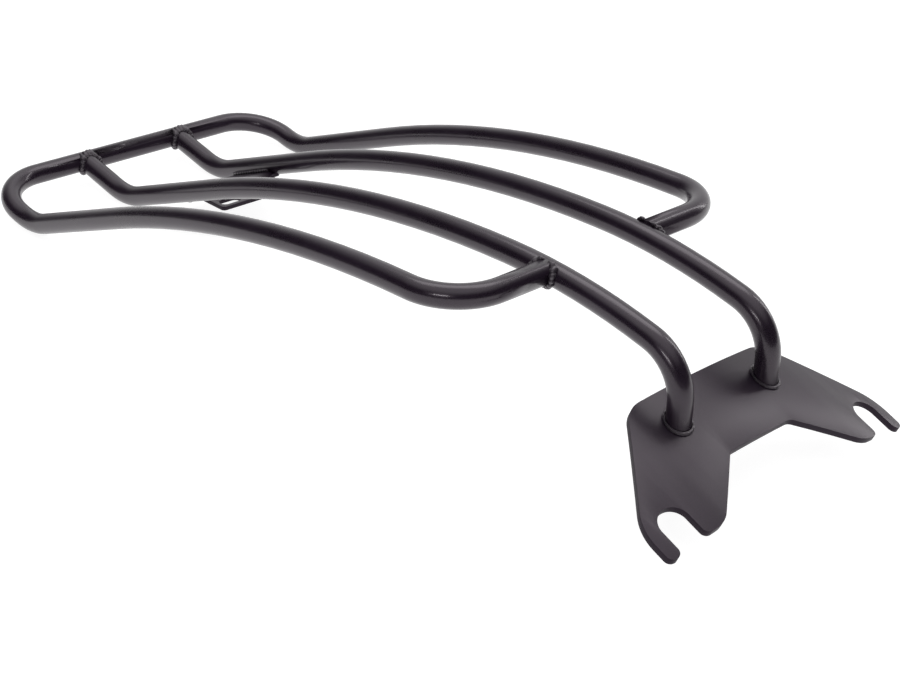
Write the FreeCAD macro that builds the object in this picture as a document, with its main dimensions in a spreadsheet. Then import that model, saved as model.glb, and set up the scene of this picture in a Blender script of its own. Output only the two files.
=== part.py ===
"""Solo luggage rack for the rear fender of a motorcycle: a welded steel tube frame on a hooked plate.

Frame: millimetres, +Z up, +Y forwards, +X to the rider's right. The origin is on top of the mounting
plate, on its crown line, midway between the axes of the two rail feet.
"""
import FreeCAD
import Part
import math
import os
import Sketcher

Vector = FreeCAD.Vector
Rotation = FreeCAD.Rotation
Placement = FreeCAD.Placement

X_AXIS = Vector(1, 0, 0)
Y_AXIS = Vector(0, 1, 0)
Z_AXIS = Vector(0, 0, 1)

# Forwards and up in a side view, where a point is (along +Y, along +Z, 0).
Y_AXIS_FLAT = Vector(1, 0, 0)
Z_AXIS_FLAT = Vector(0, 1, 0)

# Driving dimensions: (alias, value in mm or degrees, what it is).
DIMENSIONS = [
    ("tube_diameter", 12.7, "outside of every tube, half an inch"),
    ("tube_wall", 2.0, "wall of every tube"),
    ("weld_size", 1.8, "how far a weld bead stands off each piece"),
    ("rail_half_front", 33.3, "centre plane to a rail's axis at its foot"),
    ("rail_half_rear", 36.6, "centre plane to a rail's axis at the crossbar"),
    ("foot_stub", 8.65, "straight foot of a rail, above the origin"),
    ("foot_radius", 27.3, "bend above the foot"),
    ("foot_angle", 75.7, "turn of the bend above the foot"),
    ("front_radius", 371.0, "front part of the arch"),
    ("front_angle", 14.4, "turn of the front part of the arch"),
    ("arch_radius", 701.0, "long rear part of the arch"),
    ("arch_angle", 20.5, "turn of the long rear part of the arch"),
    ("tail_straight", 86.3, "straight run ahead of the kink"),
    ("kink_radius", 47.3, "upward kink ahead of the lip"),
    ("kink_angle", 32.7, "turn of the upward kink"),
    ("lip_straight", 35.5, "kink to the crossbar's axis"),
    ("hoop_half_front", 98.8, "centre plane to the hoop's axis at the front corners"),
    ("hoop_half_rear", 106.1, "centre plane to the hoop's axis at the rear corners"),
    ("hoop_arch_angle", 20.25, "turn of the hoop's sides, which ends at the front corners"),
    ("front_corner_radius", 30.5, "hoop's front corners"),
    ("rear_corner_radius", 31.8, "hoop's rear corners"),
    ("plate_thickness", 3.4, "mounting plate"),
    ("plate_slope", 22.4, "the plate falls forwards at this angle"),
    ("crown_radius", 424.0, "top of the plate, rolled about its fore and aft line"),
    ("plate_rear", 18.3, "origin to the plate's rear edge"),
    ("plate_rear_half", 49.4, "half the rear edge, to the sharp corner"),
    ("plate_side_angle", 52.6, "side edges, from the rear edge's line"),
    ("plate_rear_corner", 16.0, "round of the rear corners"),
    ("hook_half", 90.0, "centre plane to the outside of a hook"),
    ("hook_reach", 54.6, "origin to the tip of a hook"),
    ("hook_width", 7.1, "width of a hook"),
    ("hook_shoulder", 28.0, "round between a side edge and its hook"),
    ("slot_width", 16.5, "bolt slot between hook and arm"),
    ("slot_end", 32.5, "origin to the closed end of a slot"),
    ("arm_reach", 53.2, "origin to the end of an arm"),
    ("arm_outer_corner", 3.5, "round of an arm's end beside the slot"),
    ("arm_inner_corner", 14.0, "round of an arm's end beside the notch"),
    ("notch_half", 23.0, "half the floor of the notch, to the sharp corner"),
    ("notch_end", 26.0, "origin to the floor of the notch"),
    ("notch_angle", 40.8, "sides of the notch, from the floor's line"),
    ("notch_corner", 6.0, "round of the corners of the notch"),
    ("bracket_thickness", 2.5, "rear bracket"),
    ("bracket_drop", 3.0, "a rail's axis to the top of the bracket's base, square to the rail"),
    ("bracket_rear", 12.9, "kink to the bracket's rear edge, along the rail"),
    ("bracket_base", 38.4, "base of the bracket, rear edge to the bend, along the rail"),
    ("bracket_shoulder", 5.0, "bend to the shoulders, forwards"),
    ("tongue_reach", 28.5, "bend to the tongue's end, forwards"),
    ("tongue_half", 27.0, "half the tongue's width"),
    ("tongue_corner", 2.5, "round of the tongue's corners"),
    ("bracket_slot_width", 7.5, "each of the two slots in the tongue"),
    ("bracket_slot_length", 15.0, "each slot, end to end"),
    ("bracket_slot_spacing", 34.6, "centre to centre of the two slots"),
    ("bracket_slot_web", 2.6, "tongue's end to the slots"),
]

doc = FreeCAD.newDocument("luggage_rack")
sheet = doc.addObject("Spreadsheet::Sheet", "Sizes")
for row, (alias, value, meaning) in enumerate(DIMENSIONS, start=1):
    sheet.set(f"A{row}", meaning)
    sheet.set(f"B{row}", str(value))
    sheet.setAlias(f"B{row}", alias)
doc.recompute()


def size(alias):
    """A driving dimension, read from the sheet."""
    return float(sheet.get(alias))


def bind(owner, prop, formula):
    """Drive a property of an object with a formula of sheet values."""
    owner.setExpression(prop, formula)


# ---------------------------------------------------------------- shared geometry

TUBE_RADIUS = size("tube_diameter") / 2

# The bend programme of a rail, foot to crossbar: straight runs, and bends as (radius, turn, side).
# Side +1 turns rearwards and down, -1 turns back up.
RAIL_PROGRAMME = [
    ("line", "foot_stub", None, 0),
    ("bend", "foot_radius", "foot_angle", 1),
    ("bend", "front_radius", "front_angle", 1),
    ("bend", "arch_radius", "arch_angle", 1),
    ("line", "tail_straight", None, 0),
    ("bend", "kink_radius", "kink_angle", -1),
    ("line", "lip_straight", None, 0),
]


def heading_vector(heading):
    """Unit vector in a side plane, (along +Y, along +Z), for a heading in degrees above +Y."""
    return Vector(math.cos(math.radians(heading)), math.sin(math.radians(heading)), 0)


def walk(programme, start, heading):
    """Follow a bend programme. Returns one (start, end, centre, heading at the end) for each step."""
    steps = []
    point = start
    for kind, length_alias, turn_alias, side in programme:
        if kind == "line":
            end = point + heading_vector(heading) * size(length_alias)
            steps.append((point, end, None, heading))
        else:
            inward = heading_vector(heading + 90 * side)
            centre = point + inward * size(length_alias)
            heading += side * size(turn_alias)
            end = centre - heading_vector(heading + 90 * side) * size(length_alias)
            steps.append((point, end, centre, heading))
        point = end
    return steps


RAIL_STEPS = walk(RAIL_PROGRAMME, Vector(0, 0, 0), 90)
KINK_START = RAIL_STEPS[5][0]
CROSSBAR = RAIL_STEPS[-1][1]
LIP_HEADING = RAIL_STEPS[-1][3]
RAIL_YAW = math.degrees(math.asin((size("rail_half_rear") - size("rail_half_front")) / -CROSSBAR.x))


def rail_x(y):
    """Distance from the centre plane to a rail's axis at a place along the vehicle."""
    return size("rail_half_front") - y * math.tan(math.radians(RAIL_YAW))


def origin_plane(body, role):
    """One of a body's own origin planes."""
    return next(feature for feature in body.Origin.OriginFeatures if feature.Role == role)


def new_sketch(body, name, role):
    """A sketch on one of a body's origin planes."""
    sketch = body.newObject("Sketcher::SketchObject", name)
    sketch.AttachmentSupport = [(origin_plane(body, role), "")]
    sketch.MapMode = "FlatFace"
    return sketch


def name_constraint(sketch, constraint, name, formula):
    """Add a constraint, name it and drive it from the sheet."""
    index = sketch.addConstraint(constraint)
    sketch.renameConstraint(index, name)
    bind(sketch, f"Constraints.{name}", formula)


def draw_section(body, diameters):
    """Concentric circles on the body's XY plane; diameters are (name, value, formula)."""
    section = new_sketch(body, "Section", "XY_Plane")
    for index, (name, value, formula) in enumerate(diameters):
        section.addGeometry(Part.Circle(Vector(0, 0, 0), Z_AXIS, value / 2))
        section.addConstraint(Sketcher.Constraint("Coincident", index, 3, -1, 1))
        name_constraint(section, Sketcher.Constraint("Diameter", index, value), name, formula)
    return section


def draw_rail_path(body):
    """The rail's bend programme as a constrained chain of lines and arcs on the body's YZ plane."""
    path = new_sketch(body, "Path", "YZ_Plane")
    lift = Vector(0, TUBE_RADIUS, 0)
    joints = []
    for index, (step, placed) in enumerate(zip(RAIL_PROGRAMME, RAIL_STEPS)):
        kind, length_alias, turn_alias, side = step
        start, end, centre, _ = placed
        start = start if index == 0 else start + lift
        end = end + lift
        if kind == "line":
            path.addGeometry(Part.LineSegment(start, end))
            joints.append((1, 2))
            extra = " + Sizes.tube_diameter / 2" if index == 0 else ""
            length = (end - start).Length
            name_constraint(path, Sketcher.Constraint("Distance", index, length),
                            length_alias, f"Sizes.{length_alias}{extra}")
        else:
            centre = centre + lift
            first, last = (start, end) if side > 0 else (end, start)
            angles = [math.atan2((p - centre).y, (p - centre).x) for p in (first, last)]
            circle = Part.Circle(centre, Z_AXIS, size(length_alias))
            path.addGeometry(Part.ArcOfCircle(circle, angles[0], angles[1]))
            joints.append((1, 2) if side > 0 else (2, 1))
            name_constraint(path, Sketcher.Constraint("Radius", index, size(length_alias)),
                            length_alias, f"Sizes.{length_alias}")
            name_constraint(path, Sketcher.Constraint("Angle", index, math.radians(size(turn_alias))),
                            turn_alias, f"Sizes.{turn_alias} * 1 deg")
        if index:
            path.addConstraint(
                Sketcher.Constraint("Tangent", index - 1, joints[index - 1][1], index, joints[index][0]))
    path.addConstraint(Sketcher.Constraint("Coincident", 0, 1, -1, 1))
    path.addConstraint(Sketcher.Constraint("Vertical", 0))
    return path


def rail_body(label, side, diameters):
    """A tube or rod bent to the rail's programme, on side +1 (right) or -1 (left)."""
    body = doc.addObject("PartDesign::Body", label)
    section = draw_section(body, diameters)
    path = draw_rail_path(body)
    doc.recompute()
    tube = body.newObject("PartDesign::AdditivePipe", "Bend")
    tube.Profile = section
    tube.Spine = (path, [f"Edge{index + 1}" for index in range(len(RAIL_PROGRAMME))])
    bind(body, "Placement.Base.x", f"{side} * Sizes.rail_half_front")
    bind(body, "Placement.Base.z", "-Sizes.tube_diameter / 2")
    body.Placement.Rotation = Rotation(Z_AXIS, side * RAIL_YAW)
    return body


OUTER = ("outer", size("tube_diameter"), "Sizes.tube_diameter")
INNER = ("inner", size("tube_diameter") - 2 * size("tube_wall"), "Sizes.tube_diameter - 2 * Sizes.tube_wall")
SWOLLEN = ("outer", size("tube_diameter") + 2 * size("weld_size"),
           "Sizes.tube_diameter + 2 * Sizes.weld_size")


def cylinder(label, start, direction, length, radius_formula):
    """A round bar from a point along a direction."""
    bar = doc.addObject("Part::Cylinder", label)
    bind(bar, "Radius", radius_formula)
    bar.Height = length
    bar.Placement = Placement(start, Rotation(Z_AXIS, direction))
    return bar


def join(kind, label, shapes):
    """A fuse or a common of several shapes."""
    result = doc.addObject(f"Part::Multi{kind}", label)
    result.Shapes = shapes
    return result


def cut(label, base, *tools):
    """A base less one tool after another."""
    result = base
    for index, tool in enumerate(tools):
        step = doc.addObject("Part::Cut", label if index == len(tools) - 1 else f"{label}_step{index}")
        step.Base = result
        step.Tool = tool
        result = step
    return result


def round_corners(corners):
    """Lines and tangent arcs round a closed outline of (x, y, radius) corners, as curve geometry."""
    count = len(corners)
    spans = []
    for index, (x, y, radius) in enumerate(corners):
        point = Vector(x, y, 0)
        before = Vector(*corners[index - 1][:2], 0) - point
        after = Vector(*corners[(index + 1) % count][:2], 0) - point
        before.normalize()
        after.normalize()
        opening = before.getAngle(after)
        reach = radius / math.tan(opening / 2)
        middle = before + after
        middle.normalize()
        spans.append((point + before * reach,
                      point + middle * (radius / math.sin(opening / 2) - radius),
                      point + after * reach))
    curves = []
    for index, (first, middle, last) in enumerate(spans):
        curves.append(Part.Arc(first, middle, last))
        following = spans[(index + 1) % count][0]
        if (following - last).Length > 1e-6:
            curves.append(Part.LineSegment(last, following))
    return curves


def mirrored(half):
    """A closed outline from its right half, listed from the rear edge round to the front."""
    return half + [(-x, y, radius) for x, y, radius in reversed(half)]


def pad_outline(body, name, corners, depth_formula, middle):
    """Pad a closed outline up from the body's XY plane, or both ways from it."""
    outline = new_sketch(body, name, "XY_Plane")
    for curve in round_corners(corners):
        outline.addGeometry(curve)
    pad = body.newObject("PartDesign::Pad", name + "Pad")
    pad.Profile = outline
    pad.Midplane = middle
    bind(pad, "Length", depth_formula)
    return pad


# ---------------------------------------------------------------- mounting plate

def plate_outline():
    """Right half of the plate's outline: rear corner, hook, bolt slot, arm and notch."""
    side = math.radians(size("plate_side_angle"))
    shoulder = (size("hook_half") - size("plate_rear_half")) * math.tan(side) - size("plate_rear")
    hook_inner = size("hook_half") - size("hook_width")
    slot_inner = hook_inner - size("slot_width")
    notch_run = (size("arm_reach") - size("notch_end")) / math.tan(math.radians(size("notch_angle")))
    hook_round = size("hook_width") / 2 * 0.999
    slot_round = size("slot_width") / 2 * 0.999
    return [
        (size("plate_rear_half"), -size("plate_rear"), size("plate_rear_corner")),
        (size("hook_half"), shoulder, size("hook_shoulder")),
        (size("hook_half"), size("hook_reach"), hook_round),
        (hook_inner, size("hook_reach"), hook_round),
        (hook_inner, size("slot_end"), slot_round),
        (slot_inner, size("slot_end"), slot_round),
        (slot_inner, size("arm_reach"), size("arm_outer_corner")),
        (size("notch_half") + notch_run, size("arm_reach"), size("arm_inner_corner")),
        (size("notch_half"), size("notch_end"), size("notch_corner")),
    ]


PLATE_PLACE = Placement(Vector(0, 0, 0), Rotation(X_AXIS, -size("plate_slope")))
PLATE_LENGTH = size("plate_rear") + size("hook_reach")


def crown_bar(label, radius_formula):
    """The round bar whose top is a crowned surface of the plate, along the plate's own Y axis."""
    bar = doc.addObject("Part::Cylinder", label)
    bind(bar, "Radius", radius_formula)
    bind(bar, "Height", "2 * (Sizes.plate_rear + Sizes.hook_reach)")
    start = Vector(0, -PLATE_LENGTH, -size("crown_radius"))
    bar.Placement = PLATE_PLACE.multiply(Placement(start, Rotation(Z_AXIS, Y_AXIS)))
    return bar


blank = doc.addObject("PartDesign::Body", "plate_blank")
pad_outline(blank, "Outline", mirrored(plate_outline()), "2 * Sizes.hook_half", True)
blank.Placement = PLATE_PLACE
crown_top = crown_bar("crown_top", "Sizes.crown_radius")
crown_under = crown_bar("crown_under", "Sizes.crown_radius - Sizes.plate_thickness")
crown_weld = crown_bar("crown_weld", "Sizes.crown_radius + Sizes.weld_size")
rolled = join("Common", "plate_rolled", [blank, crown_top])
mounting_plate = cut("mounting_plate", rolled, crown_under)

# ---------------------------------------------------------------- crossbar axis and inner rails

crossbar_at = Vector(0, CROSSBAR.x, CROSSBAR.y)
crossbar_half = size("hoop_half_rear") - size("rear_corner_radius")
crossbar_start = crossbar_at - X_AXIS * crossbar_half
crossbar_rod = cylinder("crossbar_rod", crossbar_start, X_AXIS, 2 * crossbar_half,
                        "Sizes.tube_diameter / 2")
crossbar_swollen = cylinder("crossbar_swollen", crossbar_start, X_AXIS, 2 * crossbar_half,
                            "Sizes.tube_diameter / 2 + Sizes.weld_size")

SIDES = {"right": 1, "left": -1}
rails = {}
rail_rods = {}
rail_swells = {}
for name, side in SIDES.items():
    bent = rail_body(f"rail_bent_{name}", side, [OUTER, INNER])
    rail_rods[name] = rail_body(f"rail_rod_{name}", side, [OUTER])
    rail_swells[name] = rail_body(f"rail_swollen_{name}", side, [SWOLLEN])
    rails[name] = cut(f"inner_rail_{name}", bent, crown_top, crossbar_rod)

# ---------------------------------------------------------------- outer hoop

def side_direction(heading, yaw):
    """Forward unit vector of a side that falls at a heading below +Y and closes in by its yaw."""
    level = math.cos(math.radians(heading))
    return Vector(-level * math.sin(math.radians(yaw)),
                  level * math.cos(math.radians(yaw)),
                  math.sin(math.radians(heading)))


def hoop_corners():
    """Corner points of the hoop's right half, front weld to rear corner, with the bend radii."""
    lip = LIP_HEADING + 180
    tail = lip + size("kink_angle")
    front = tail - size("hoop_arch_angle")
    kink_reach = size("kink_radius") * math.tan(math.radians(size("kink_angle") / 2))
    arch_reach = size("arch_radius") * math.tan(math.radians(size("hoop_arch_angle") / 2))
    legs = [
        (lip, size("lip_straight") + kink_reach),
        (tail, kink_reach + size("tail_straight") + arch_reach),
        (front, arch_reach + size("front_corner_radius")),
    ]
    plan_length = sum(length * math.cos(math.radians(heading)) for heading, length in legs)
    yaw = math.degrees(math.asin((size("hoop_half_rear") - size("hoop_half_front")) / plan_length))
    points = [Vector(size("hoop_half_rear"), crossbar_at.y, crossbar_at.z)]
    for heading, length in legs:
        points.append(points[-1] + side_direction(heading, yaw) * length)
    corner = points[-1]
    points.append(Vector(rail_x(corner.y) + TUBE_RADIUS / 2, corner.y, corner.z))
    radii = [size("rear_corner_radius"), size("kink_radius"), size("arch_radius"),
             size("front_corner_radius")]
    return points, radii


def bent_wire(points, radii):
    """A tangent wire of lines and arcs through the ends and round the corners of a polyline."""
    edges = []
    last = points[0]
    for index, radius in enumerate(radii, start=1):
        point = points[index]
        before = (points[index - 1] - point).normalize()
        after = (points[index + 1] - point).normalize()
        opening = before.getAngle(after)
        reach = radius / math.tan(opening / 2)
        middle = (before + after).normalize()
        first = point + before * reach
        if (first - last).Length > 1e-3:
            edges.append(Part.LineSegment(last, first).toShape())
        else:
            first = last
        apex = point + middle * (radius / math.sin(opening / 2) - radius)
        last = point + after * reach
        edges.append(Part.Arc(first, apex, last).toShape())
    edges.append(Part.LineSegment(last, points[-1]).toShape())
    return Part.Wire(edges)


def sweep(wire, radius):
    """A round bar along a wire."""
    start = wire.Edges[0].valueAt(wire.Edges[0].FirstParameter)
    direction = wire.Edges[0].tangentAt(wire.Edges[0].FirstParameter)
    ring = Part.Wire(Part.makeCircle(radius, start, direction))
    return wire.makePipeShell([ring], True, False)


def mirror_point(point):
    """The same point on the other side of the centre plane."""
    return Vector(-point.x, point.y, point.z)


half_points, half_radii = hoop_corners()
right_points = list(reversed(half_points))
right_radii = list(reversed(half_radii))
hoop_wire = bent_wire(right_points + [mirror_point(p) for p in half_points], right_radii + half_radii)
hoop_rod = doc.addObject("Part::Feature", "hoop_rod")
hoop_rod.Shape = sweep(hoop_wire, TUBE_RADIUS)
hoop_bore = doc.addObject("Part::Feature", "hoop_bore")
hoop_bore.Shape = sweep(hoop_wire, TUBE_RADIUS - size("tube_wall"))
outer_hoop = cut("outer_hoop", hoop_rod, hoop_bore, rail_rods["right"], rail_rods["left"])

# ---------------------------------------------------------------- rear bracket

tail_pitch = RAIL_STEPS[4][3] - 180
tail_along = heading_vector(tail_pitch)
tail_down = heading_vector(tail_pitch - 90)
base_rear = KINK_START + tail_along * size("bracket_rear") + tail_down * size("bracket_drop")
bend = base_rear + tail_along * size("bracket_base")
tongue_end = bend + Y_AXIS_FLAT * size("tongue_reach")
under = size("bracket_thickness")
miter = (tail_down - Z_AXIS_FLAT).normalize() * (under / math.cos(math.radians(tail_pitch / 2)))
shoulder_y = bend.x + size("bracket_shoulder")
bracket_front = tongue_end.x
bracket_outline = [
    (rail_x(base_rear.x), base_rear.x - under, size("tongue_corner")),
    (rail_x(shoulder_y), shoulder_y, size("tongue_corner")),
    (size("tongue_half"), shoulder_y, size("tongue_corner")),
    (size("tongue_half"), bracket_front, size("tongue_corner")),
]
bracket_blank = doc.addObject("PartDesign::Body", "bracket_blank")
pad_outline(bracket_blank, "Outline", mirrored(bracket_outline), "4 * Sizes.tongue_half", True)
slot_front = bracket_front - size("bracket_slot_web")
slot_rear = slot_front - size("bracket_slot_width")
slot_half = size("bracket_slot_length") / 2
slot_round = size("bracket_slot_width") / 2 * 0.999
slot_corners = [
    (slot_half, slot_rear),
    (slot_half, slot_front),
    (-slot_half, slot_front),
    (-slot_half, slot_rear),
]
slot_sketch = new_sketch(bracket_blank, "Slots", "XY_Plane")
for slot_side in (1, -1):
    slot_middle = slot_side * size("bracket_slot_spacing") / 2
    for slot_curve in round_corners([(slot_middle + x, y, slot_round) for x, y in slot_corners]):
        slot_sketch.addGeometry(slot_curve)
slot_pocket = bracket_blank.newObject("PartDesign::Pocket", "SlotPocket")
slot_pocket.Profile = slot_sketch
slot_pocket.Type = "ThroughAll"
slot_pocket.Midplane = True
bracket_blank.Placement = Placement(Vector(0, 0, bend.y), Rotation())

bracket_side = doc.addObject("PartDesign::Body", "bracket_side")
profile = new_sketch(bracket_side, "Profile", "YZ_Plane")
tongue_under = tongue_end - Z_AXIS_FLAT * under
rear_under = base_rear + tail_down * under
outline = [base_rear, bend, tongue_end, tongue_under, bend + miter, rear_under]
for index, point in enumerate(outline):
    profile.addGeometry(Part.LineSegment(point, outline[(index + 1) % len(outline)]))
side_pad = bracket_side.newObject("PartDesign::Pad", "ProfilePad")
side_pad.Profile = profile
side_pad.Midplane = True
bind(side_pad, "Length", "4 * Sizes.rail_half_rear")
bracket_sheet = join("Common", "bracket_sheet", [bracket_blank, bracket_side])
rear_bracket = cut("rear_bracket", bracket_sheet, rail_rods["right"], rail_rods["left"])

# ---------------------------------------------------------------- weld beads

stub_right = half_points[-1]
corner_right = half_points[-2]
welds = []
for name, side in SIDES.items():
    rod = rail_rods[name]
    swollen = rail_swells[name]

    foot = join("Common", f"foot_zone_{name}", [swollen, crown_weld])
    welds.append(cut(f"weld_rail_foot_{name}", foot, crown_top, rod))

    lip = join("Common", f"lip_zone_{name}", [swollen, crossbar_swollen])
    welds.append(cut(f"weld_crossbar_{name}", lip, crossbar_rod, rod))

    start = stub_right if side > 0 else mirror_point(stub_right)
    length = corner_right.x - stub_right.x - size("front_corner_radius")
    stub = cylinder(f"stub_swollen_{name}", start, X_AXIS * side, length,
                    "Sizes.tube_diameter / 2 + Sizes.weld_size")
    ring = join("Common", f"stub_zone_{name}", [swollen, stub])
    welds.append(cut(f"weld_hoop_{name}", ring, rod, hoop_rod))

    seam = doc.addObject("Part::Box", f"seam_bar_{name}")
    bind(seam, "Height", "Sizes.weld_size")
    bind(seam, "Width", "Sizes.bracket_base")
    seam.Length = rail_x(base_rear.x)
    seam_x = 0 if side > 0 else -rail_x(base_rear.x)
    seam.Placement = Placement(Vector(seam_x, base_rear.x, base_rear.y), Rotation(X_AXIS, tail_pitch))
    bead = join("Common", f"seam_zone_{name}", [swollen, seam])
    welds.append(cut(f"weld_bracket_{name}", bead, rod))

# ---------------------------------------------------------------- check and write

doc.recompute()
SUB_PARTS = [mounting_plate, outer_hoop, rear_bracket] + list(rails.values()) + welds
for item in doc.Objects:
    if "Invalid" in item.State or "Error" in item.State:
        raise RuntimeError(f"{item.Label} failed: {item.State}")
for item in SUB_PARTS:
    if item.Shape.isNull() or not item.Shape.isValid() or len(item.Shape.Solids) != 1:
        raise RuntimeError(f"{item.Label} isn't one valid solid: {len(item.Shape.Solids)} solids")
if slot_pocket.Shape.Volume >= slot_pocket.BaseFeature.Shape.Volume:
    raise RuntimeError("the bracket's slot cut nothing")

os.makedirs("parts", exist_ok=True)
for item in SUB_PARTS:
    item.Shape.exportStep(f"parts/{item.Label}.step")
    print(f"{item.Label}: {item.Shape.Volume:.0f} mm3, {item.Shape.BoundBox}")
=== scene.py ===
import logging
import math
from dataclasses import dataclass, field
from enum import Enum

import bmesh
import bpy
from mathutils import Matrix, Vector, noise


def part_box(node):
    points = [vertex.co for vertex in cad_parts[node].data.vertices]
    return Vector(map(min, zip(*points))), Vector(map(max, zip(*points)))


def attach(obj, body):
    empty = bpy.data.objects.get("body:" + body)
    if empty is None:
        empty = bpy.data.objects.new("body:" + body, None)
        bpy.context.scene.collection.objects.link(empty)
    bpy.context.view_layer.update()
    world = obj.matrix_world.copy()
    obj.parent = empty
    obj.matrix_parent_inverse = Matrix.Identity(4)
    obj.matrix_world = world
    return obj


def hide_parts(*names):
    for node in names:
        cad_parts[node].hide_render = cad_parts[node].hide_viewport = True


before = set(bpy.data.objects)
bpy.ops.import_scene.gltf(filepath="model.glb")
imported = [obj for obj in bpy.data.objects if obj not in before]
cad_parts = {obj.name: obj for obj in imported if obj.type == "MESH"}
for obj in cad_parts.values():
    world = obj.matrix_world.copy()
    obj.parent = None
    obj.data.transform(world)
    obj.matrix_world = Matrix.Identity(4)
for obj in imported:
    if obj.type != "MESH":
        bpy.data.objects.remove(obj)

LOG = logging.getLogger("rack_scene")
ROOT = "root"
MERGE_DISTANCE = 0.00001
# Distance of a weld run from the axis that it goes round.
RUN_RADIUS = 0.0075
# The mounting plate slopes down to the front by this angle.
PLATE_SLOPE = math.radians(22.4)
PLATE_FACE = Vector((0.0, math.sin(PLATE_SLOPE), math.cos(PLATE_SLOPE)))
# Directions that the weld runs go round.
FOOT_AXIS = Vector((0.0, 0.0, 1.0))
LIP_AXIS = Vector((0.0, -0.978, 0.21)).normalized()
STUB_AXIS = Vector((1.0, 0.0, 0.0))
SEAM_AXIS = Vector((0.0, 1.0, 0.0))
# A face of a sheet whose normal is further than this from the broad faces is a cut edge.
EDGE_LIMIT = 0.6


class Shading(Enum):
    """How a copied CAD piece is smoothed.

    TUBE keeps only the ends sharp; SHEET bevels the edges of a cut plate.
    """

    TUBE = "tube"
    SHEET = "sheet"


class Side(Enum):
    """The two mirrored halves of the rack."""

    RIGHT = 1
    LEFT = -1

    @property
    def label(self) -> str:
        """Name used in node names."""
        return self.name.lower()


def new_object(name: str, mesh: bpy.types.Mesh) -> bpy.types.Object:
    """Link a mesh to the scene as a new object at the origin.

    Args:
        name: Object name.
        mesh: Its mesh.

    Returns:
        The new object.
    """
    made = bpy.data.objects.new(name, mesh)
    bpy.context.scene.collection.objects.link(made)
    return made


def select_only(target: bpy.types.Object) -> None:
    """Deselect everything, then select and activate one object.

    Args:
        target: The object that operators will act on.
    """
    bpy.ops.object.select_all(action="DESELECT")
    target.select_set(True)
    bpy.context.view_layer.objects.active = target


def apply_modifiers(target: bpy.types.Object) -> None:
    """Apply every modifier of an object, first to last.

    Args:
        target: The object.
    """
    select_only(target)
    for modifier in list(target.modifiers):
        bpy.ops.object.modifier_apply(modifier=modifier.name)


def merged_copy(node: str, name: str) -> bpy.types.Object:
    """Copy a CAD node's mesh and join its split vertices.

    Args:
        node: CAD node name.
        name: Name of the new piece.

    Returns:
        The copy, with no material.
    """
    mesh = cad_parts[node].data.copy()
    mesh.name = name
    mesh.materials.clear()
    grid = bmesh.new()
    grid.from_mesh(mesh)
    bmesh.ops.remove_doubles(grid, verts=grid.verts, dist=MERGE_DISTANCE)
    bmesh.ops.recalc_face_normals(grid, faces=grid.faces)
    grid.to_mesh(mesh)
    grid.free()
    return new_object(name, mesh)


# ---------------------------------------------------------------- materials


@dataclass
class NodeBoard:
    """A small helper that places and joins shader nodes.

    Attributes:
        tree: The node tree that it fills.
    """

    tree: bpy.types.NodeTree
    column: int = 0

    def add(self, kind: str, **settings: object) -> bpy.types.Node:
        """Add one node.

        Args:
            kind: Blender's node type name.
            **settings: Node properties to set.

        Returns:
            The new node.
        """
        node = self.tree.nodes.new(kind)
        node.location = (self.column * 180, -60 * (self.column % 5))
        self.column += 1
        for key, value in settings.items():
            setattr(node, key, value)
        return node

    def feed(self, socket: bpy.types.NodeSocket, source: object) -> None:
        """Join an output to a socket, or set the socket's own value.

        Args:
            socket: Input socket.
            source: Output socket, number or colour.
        """
        if isinstance(source, bpy.types.NodeSocket):
            self.tree.links.new(source, socket)
        else:
            socket.default_value = source

    def math(self, operation: str, first: object, second: object = 0.0,
             clamp: bool = False) -> bpy.types.NodeSocket:
        """Add a math node.

        Args:
            operation: Blender's operation name.
            first: First input.
            second: Second input.
            clamp: Whether the result stays from 0 to 1.

        Returns:
            The result socket.
        """
        node = self.add("ShaderNodeMath", operation=operation, use_clamp=clamp)
        self.feed(node.inputs[0], first)
        self.feed(node.inputs[1], second)
        return node.outputs[0]

    def noise(self, vector: object, scale: float, detail: float,
              roughness: float = 0.5) -> bpy.types.NodeSocket:
        """Add a noise texture.

        Args:
            vector: Coordinates.
            scale: Repeats per metre.
            detail: Octaves.
            roughness: Weight of the finer octaves.

        Returns:
            The noise value.
        """
        node = self.add("ShaderNodeTexNoise")
        self.feed(node.inputs["Vector"], vector)
        node.inputs["Scale"].default_value = scale
        node.inputs["Detail"].default_value = detail
        node.inputs["Roughness"].default_value = roughness
        return node.outputs["Fac"]

    def ramp(self, value: object, low: float, high: float, to_low: float,
             to_high: float) -> bpy.types.NodeSocket:
        """Map a range to another with a smooth step.

        Args:
            value: Input value.
            low: Start of the input range.
            high: End of the input range.
            to_low: Result at the start.
            to_high: Result at the end.

        Returns:
            The mapped value.
        """
        node = self.add("ShaderNodeMapRange", interpolation_type="SMOOTHSTEP", clamp=True)
        self.feed(node.inputs["Value"], value)
        node.inputs["From Min"].default_value = low
        node.inputs["From Max"].default_value = high
        node.inputs["To Min"].default_value = to_low
        node.inputs["To Max"].default_value = to_high
        return node.outputs["Result"]


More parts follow.
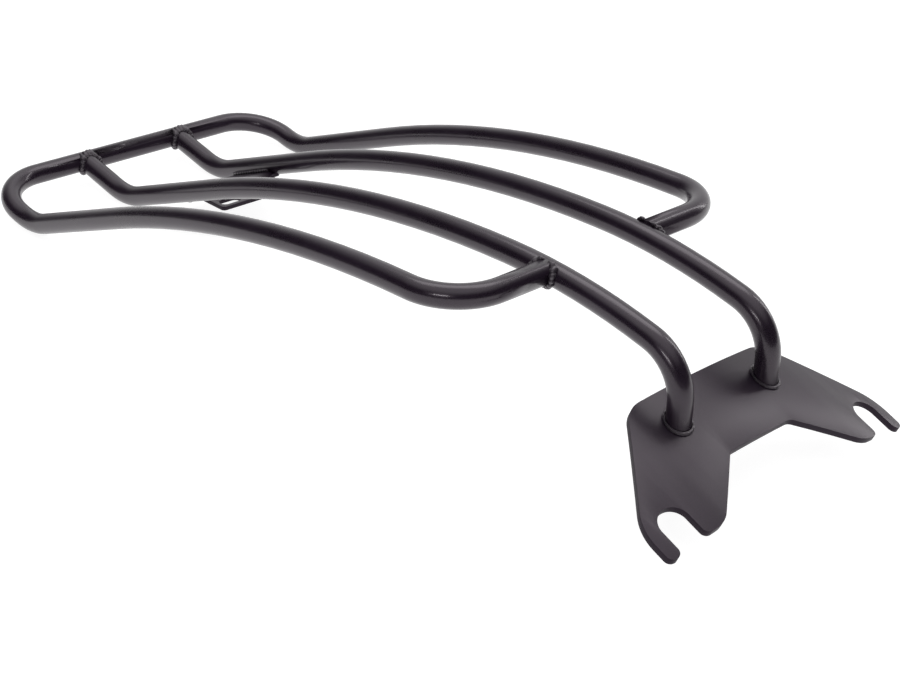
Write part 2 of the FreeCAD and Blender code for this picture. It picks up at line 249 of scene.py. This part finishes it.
def powder_texture_group() -> bpy.types.NodeTree:
    """Build the shared powder coat group: tone, sheen and surface height from object coordinates.

    Returns:
        A shader node group with outputs Tone, Sheen and Height.
    """
    group = bpy.data.node_groups.new("PowderTexture", "ShaderNodeTree")
    group.interface.new_socket("Peel", in_out="INPUT", socket_type="NodeSocketFloat")
    group.interface.new_socket("Tone", in_out="OUTPUT", socket_type="NodeSocketFloat")
    group.interface.new_socket("Sheen", in_out="OUTPUT", socket_type="NodeSocketFloat")
    group.interface.new_socket("Height", in_out="OUTPUT", socket_type="NodeSocketFloat")
    board = NodeBoard(group)
    start = board.add("NodeGroupInput")
    end = board.add("NodeGroupOutput")
    place = board.add("ShaderNodeTexCoord").outputs["Object"]
    cloud = board.noise(place, 28.0, 3.0)
    grain = board.noise(place, 900.0, 2.0)
    peel = board.noise(place, 330.0, 2.0, 0.4)
    speck = board.noise(place, 2400.0, 1.0)
    broad_tone = board.ramp(cloud, 0.3, 0.7, 0.88, 1.1)
    fine_tone = board.ramp(grain, 0.35, 0.65, -0.08, 0.08)
    tone = board.math("ADD", broad_tone, fine_tone)
    board.feed(end.inputs["Tone"], tone)
    broad_sheen = board.ramp(cloud, 0.3, 0.7, -0.025, 0.03)
    fine_sheen = board.ramp(grain, 0.3, 0.7, -0.01, 0.01)
    sheen = board.math("ADD", broad_sheen, fine_sheen)
    board.feed(end.inputs["Sheen"], sheen)
    height = board.math("ADD", board.math("MULTIPLY", peel, start.outputs["Peel"]),
                        board.math("MULTIPLY", speck, 0.03))
    board.feed(end.inputs["Height"], height)
    return group


@dataclass(frozen=True)
class PowderCoat:
    """Black powder coat on steel.

    Attributes:
        name: Material name.
        shade: Diffuse reflectance.
        red_lift: Added to the red channel.
        blue_lift: Added to the blue channel.
        roughness: Mean roughness.
        specular: Specular level.
        coat: Weight of the clear top layer.
        coat_roughness: Roughness of the clear top layer.
        peel: Weight of the orange peel in the height.
        bump: Bump strength.
    """

    name: str
    shade: float = 0.007
    red_lift: float = 0.0055
    blue_lift: float = 0.0075
    roughness: float = 0.29
    specular: float = 0.5
    coat: float = 0.3
    coat_roughness: float = 0.12
    peel: float = 1.0
    bump: float = 0.045

    def build(self, texture: bpy.types.NodeTree) -> bpy.types.Material:
        """Make the material.

        Args:
            texture: The shared powder texture group.

        Returns:
            The material.
        """
        material = bpy.data.materials.new(self.name)
        material.use_nodes = True
        material.node_tree.nodes.clear()
        board = NodeBoard(material.node_tree)
        surface = board.add("ShaderNodeGroup", node_tree=texture)
        surface.inputs["Peel"].default_value = self.peel
        shader = board.add("ShaderNodeBsdfPrincipled")
        output = board.add("ShaderNodeOutputMaterial")
        tint = board.add("ShaderNodeCombineColor")
        tone = surface.outputs["Tone"]
        board.feed(tint.inputs[0], board.math("MULTIPLY", tone, self.shade + self.red_lift))
        board.feed(tint.inputs[1], board.math("MULTIPLY", tone, self.shade))
        board.feed(tint.inputs[2], board.math("MULTIPLY", tone, self.shade + self.blue_lift))
        board.feed(shader.inputs["Base Color"], tint.outputs[0])
        board.feed(shader.inputs["Roughness"], board.math("ADD", surface.outputs["Sheen"], self.roughness))
        board.feed(shader.inputs["Specular IOR Level"], self.specular)
        board.feed(shader.inputs["Specular Tint"], (1.0, 0.88, 0.98, 1.0))
        board.feed(shader.inputs["Coat Weight"], self.coat)
        board.feed(shader.inputs["Coat Roughness"], self.coat_roughness)
        bump = board.add("ShaderNodeBump")
        bump.inputs["Strength"].default_value = self.bump
        bump.inputs["Distance"].default_value = 0.0002
        board.feed(bump.inputs["Height"], surface.outputs["Height"])
        board.feed(shader.inputs["Normal"], bump.outputs["Normal"])
        board.feed(output.inputs["Surface"], shader.outputs[0])
        return material


@dataclass(frozen=True)
class StudioFloor:
    """Pale studio floor that stays even and bright.

    Attributes:
        reflectance: Diffuse reflectance.
        glow: Light of its own, which hides the shadows as an overlit sweep does.
    """

    reflectance: float = 0.3
    glow: float = 0.92

    def build(self) -> bpy.types.Material:
        """Make the floor's material.

        Returns:
            The material.
        """
        material = bpy.data.materials.new("studio_floor_paint")
        material.use_nodes = True
        material.node_tree.nodes.clear()
        board = NodeBoard(material.node_tree)
        place = board.add("ShaderNodeTexCoord").outputs["Object"]
        tone = board.ramp(board.noise(place, 1.5, 2.0), 0.3, 0.7, self.reflectance - 0.02, self.reflectance)
        shader = board.add("ShaderNodeBsdfPrincipled")
        tint = board.add("ShaderNodeCombineColor")
        for channel in range(3):
            board.feed(tint.inputs[channel], tone)
        board.feed(shader.inputs["Base Color"], tint.outputs[0])
        shader.inputs["Roughness"].default_value = 0.9
        shader.inputs["Specular IOR Level"].default_value = 0.0
        shader.inputs["Emission Color"].default_value = (1.0, 1.0, 1.0, 1.0)
        shader.inputs["Emission Strength"].default_value = self.glow
        output = board.add("ShaderNodeOutputMaterial")
        board.feed(output.inputs["Surface"], shader.outputs[0])
        return material


# ---------------------------------------------------------------- pieces


@dataclass
class CoatedPiece:
    """A smoothed, edge-broken copy of one CAD node.

    Attributes:
        node: CAD node name.
        shading: Tube or sheet.
        finish: Material.
        edge_radius: Radius of the broken edges, in metres.
    """

    node: str
    shading: Shading
    finish: bpy.types.Material
    edge_radius: float = 0.0004

    def build(self) -> bpy.types.Object:
        """Make the piece and put it in place of its CAD node.

        Returns:
            The new piece.
        """
        piece = merged_copy(self.node, f"coated_{self.node}")
        if self.shading is Shading.SHEET:
            bevel = piece.modifiers.new("broken_edges", "BEVEL")
            bevel.width = self.edge_radius
            bevel.segments = 3
            bevel.limit_method = "ANGLE"
            bevel.angle_limit = math.radians(40)
            bevel.harden_normals = False
            apply_modifiers(piece)
        select_only(piece)
        bpy.ops.object.shade_smooth_by_angle(angle=math.radians(32))
        piece.data.materials.append(self.finish)
        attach(piece, ROOT)
        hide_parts(self.node)
        return piece


@dataclass
class WeldBead:
    """A rippled weld run grown from a CAD bead.

    Attributes:
        node: CAD node of the plain bead.
        finish: Material.
        centre: Point on the axis that the seam goes round, in metres.
        axis: Direction of that axis.
        ripple_length: Length of one ripple along the seam, in metres.
        ripple_height: Height of a ripple, in metres.
        swell: How far the bead is grown before the ripples, in metres.
        lump_scale: Lumps per metre.
        straight: Whether the seam runs along the rack instead of round an axis.
    """

    node: str
    finish: bpy.types.Material
    centre: Vector
    axis: Vector
    ripple_length: float = 0.0027
    ripple_height: float = 0.0003
    swell: float = 0.00015
    lump_scale: float = 190.0
    straight: bool = False

    def along(self, point: Vector) -> float:
        """Distance of a point along the seam.

        Args:
            point: A point on the bead.

        Returns:
            The distance in metres.
        """
        if self.straight:
            return point.y
        out = point - self.centre
        out = out - self.axis * out.dot(self.axis)
        first = self.axis.orthogonal().normalized()
        second = self.axis.cross(first)
        return math.atan2(out.dot(second), out.dot(first)) * RUN_RADIUS

    def build(self) -> bpy.types.Object:
        """Make the bead and put it in place of its CAD node.

        Returns:
            The new piece.
        """
        bead = merged_copy(self.node, f"bead_{self.node}")
        remesh = bead.modifiers.new("even", "REMESH")
        remesh.mode = "VOXEL"
        remesh.voxel_size = 0.00028
        relax = bead.modifiers.new("relax", "SMOOTH")
        relax.factor = 0.5
        relax.iterations = 6
        apply_modifiers(bead)
        mesh = bead.data
        normals = [vertex.normal.copy() for vertex in mesh.vertices]
        for vertex, normal in zip(mesh.vertices, normals):
            phase = self.along(vertex.co) / self.ripple_length
            crest = abs(math.sin(math.pi * phase)) ** 0.6 + noise.noise(vertex.co * self.lump_scale)
            vertex.co += normal * (self.swell + self.ripple_height * (crest - 0.5))
        mesh.update()
        melt = bead.modifiers.new("melt", "SMOOTH")
        melt.factor = 0.5
        melt.iterations = 5
        apply_modifiers(bead)
        select_only(bead)
        bpy.ops.object.shade_smooth()
        bead.data.materials.append(self.finish)
        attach(bead, ROOT)
        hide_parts(self.node)
        return bead


@dataclass
class TubeFrame:
    """The bent tubes: two rails and the hoop round them.

    Attributes:
        finish: Material of the tubes.
    """

    finish: bpy.types.Material
    nodes: tuple[str, ...] = ("inner_rail_right", "inner_rail_left", "outer_hoop")

    def build(self) -> list[bpy.types.Object]:
        """Make the tubes.

        Returns:
            The new pieces.
        """
        return [CoatedPiece(node, Shading.TUBE, self.finish).build() for node in self.nodes]


@dataclass
class SheetParts:
    """The cut plates: the hooked mounting plate and the rear bracket.

    Attributes:
        finish: Material of the plates.
        edge_shade_finish: Material of their sheared edges, rougher and with a low specular level that
            darkens them as painted shade.
    """

    finish: bpy.types.Material
    edge_shade_finish: bpy.types.Material

    def build(self) -> list[bpy.types.Object]:
        """Make the plates.

        Returns:
            The new pieces.
        """
        plate = CoatedPiece("mounting_plate", Shading.SHEET, self.finish, 0.0007).build()
        bracket = CoatedPiece("rear_bracket", Shading.SHEET, self.finish, 0.0003).build()
        self.shade_cut_edges(plate, PLATE_FACE)
        self.shade_cut_edges(bracket, FOOT_AXIS)
        return [plate, bracket]

    def shade_cut_edges(self, sheet: bpy.types.Object, face: Vector) -> None:
        """Give the sheared edges of a sheet the rougher finish, whose low specular level also darkens them
        as painted shade.

        Args:
            sheet: The piece.
            face: Direction of its broad faces.
        """
        sheet.data.materials.append(self.edge_shade_finish)
        for polygon in sheet.data.polygons:
            if abs(polygon.normal.dot(face)) < EDGE_LIMIT:
                polygon.material_index = 1


@dataclass
class WeldSet:
    """Every weld run of the rack.

    Attributes:
        finish: Material of the beads.
    """

    finish: bpy.types.Material

    def build(self) -> list[bpy.types.Object]:
        """Make the weld runs on both sides.

        Returns:
            The new pieces.
        """
        made = []
        for side in Side:
            for stem, axis, height, swell in (
                    ("weld_rail_foot", FOOT_AXIS, 0.00012, -0.0005),
                    ("weld_crossbar", LIP_AXIS, 0.0008, 0.0003),
                    ("weld_hoop", STUB_AXIS, 0.0008, 0.0003)):
                node = f"{stem}_{side.label}"
                low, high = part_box(node)
                bead = WeldBead(node, self.finish, (low + high) / 2, axis, ripple_height=height, swell=swell)
                made.append(bead.build())
            node = f"weld_bracket_{side.label}"
            low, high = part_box(node)
            made.append(WeldBead(node, self.finish, (low + high) / 2, SEAM_AXIS, straight=True).build())
        return made


# ---------------------------------------------------------------- studio


@dataclass
class AreaLight:
    """A rectangular soft box.

    Attributes:
        name: Light name.
        place: Centre, in metres.
        target: Point that it faces.
        size: Width and height, in metres.
        power: Power, in watts.
    """

    name: str
    place: tuple[float, float, float]
    target: tuple[float, float, float]
    size: tuple[float, float]
    power: float

    def build(self) -> bpy.types.Object:
        """Make the light.

        Returns:
            The light object.
        """
        lamp = bpy.data.lights.new(self.name, "AREA")
        lamp.shape = "RECTANGLE"
        lamp.size, lamp.size_y = self.size
        lamp.energy = self.power
        holder = bpy.data.objects.new(self.name, lamp)
        bpy.context.scene.collection.objects.link(holder)
        holder.location = self.place
        facing = Vector(self.target) - Vector(self.place)
        holder.rotation_euler = facing.to_track_quat("-Z", "Y").to_euler()
        return holder


@dataclass
class Studio:
    """Floor, sky, lights and camera.

    Attributes:
        floor_gap: Gap between the rack's lowest point and the floor, in metres.
    """

    floor_gap: float = 0.0002
    lights: list[AreaLight] = field(default_factory=lambda: [
        AreaLight("overhead_box", (-0.5, -0.6, 1.7), (0.0, -0.2, 0.0), (1.5, 0.9), 8.0),
        AreaLight("strip_left", (-1.6, 0.2, 0.9), (0.0, -0.1, 0.0), (0.18, 1.4), 4.5),
        AreaLight("corner_glint", (0.85, 0.24, 0.45), (0.09, -0.1, 0.05), (0.34, 0.05), 1.1),
    ])

    def floor(self) -> None:
        """Make the pale floor under the rack."""
        low = min(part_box(node)[0].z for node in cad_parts) - self.floor_gap
        bpy.ops.mesh.primitive_plane_add(size=14.0, location=(0.0, 0.0, low))
        ground = bpy.context.object
        ground.name = "studio_floor"
        ground.data.materials.append(StudioFloor().build())

    def sky(self) -> None:
        """Make the soft surroundings: bright behind and above, dim towards the camera."""
        world = bpy.data.worlds.new("studio_surroundings")
        bpy.context.scene.world = world
        world.use_nodes = True
        world.node_tree.nodes.clear()
        board = NodeBoard(world.node_tree)
        direction = board.add("ShaderNodeTexCoord").outputs["Generated"]
        parts = board.add("ShaderNodeSeparateXYZ")
        board.feed(parts.inputs[0], direction)
        above = board.ramp(parts.outputs[2], 0.5, 0.95, 0.0, 1.1)
        away = board.add("ShaderNodeVectorMath", operation="DOT_PRODUCT")
        board.feed(away.inputs[0], direction)
        away.inputs[1].default_value = (-0.82, -0.57, 0.0)
        behind = board.ramp(away.outputs["Value"], 0.3, 0.95, 0.0, 0.85)
        level = board.math("ADD", board.math("ADD", above, behind), 0.03)
        background = board.add("ShaderNodeBackground")
        background.inputs["Color"].default_value = (1.0, 1.0, 1.0, 1.0)
        board.feed(background.inputs["Strength"], level)
        output = board.add("ShaderNodeOutputWorld")
        board.feed(output.inputs["Surface"], background.outputs[0])

    def camera(self) -> None:
        """Place the camera."""
        lens = bpy.data.cameras.new("studio_camera")
        lens.sensor_width = 36.0
        lens.lens = 67.6
        lens.clip_start = 0.01
        lens.clip_end = 50.0
        holder = bpy.data.objects.new("studio_camera", lens)
        bpy.context.scene.collection.objects.link(holder)
        holder.location = (0.58874, 0.41339, 0.3947)
        holder.rotation_euler = [math.radians(angle) for angle in (62.5269, -1.6995, 136.5108)]
        bpy.context.scene.camera = holder

    def build(self) -> None:
        """Make the whole studio and set the picture's tone."""
        self.floor()
        self.sky()
        for light in self.lights:
            light.build()
        self.camera()
        view = bpy.context.scene.view_settings
        view.view_transform = "Standard"
        view.look = "None"
        view.exposure = 0.0


def main() -> None:
    """Build the rack's looks and the studio."""
    logging.basicConfig(level=logging.INFO)
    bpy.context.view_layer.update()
    texture = powder_texture_group()
    tube_coat = PowderCoat("tube_powder_coat").build(texture)
    plate_finish = PowderCoat("plate_powder_coat", roughness=0.37, coat=0.15, coat_roughness=0.25)
    plate_coat = plate_finish.build(texture)
    # The cut edges' coat is rougher and has a low specular level: partly a rougher sheared edge, partly
    # painted shade that darkens the edges as the shaded floor under the plate would.
    cut_edge_shade_coat = PowderCoat("cut_edge_painted_shade_coat", roughness=0.5, specular=0.2, coat=0.0).build(texture)
    # The beads get a paler copy of the black powder coat: painted light, standing in for the light that the
    # rippled beads catch.
    bead_light_coat = PowderCoat("bead_powder_coat", shade=0.026, roughness=0.36, bump=0.1).build(texture)
    pieces = TubeFrame(tube_coat).build()
    pieces += SheetParts(plate_coat, cut_edge_shade_coat).build()
    pieces += WeldSet(bead_light_coat).build()
    LOG.info("built %d pieces", len(pieces))
    Studio().build()


if __name__ == "__main__":
    main()
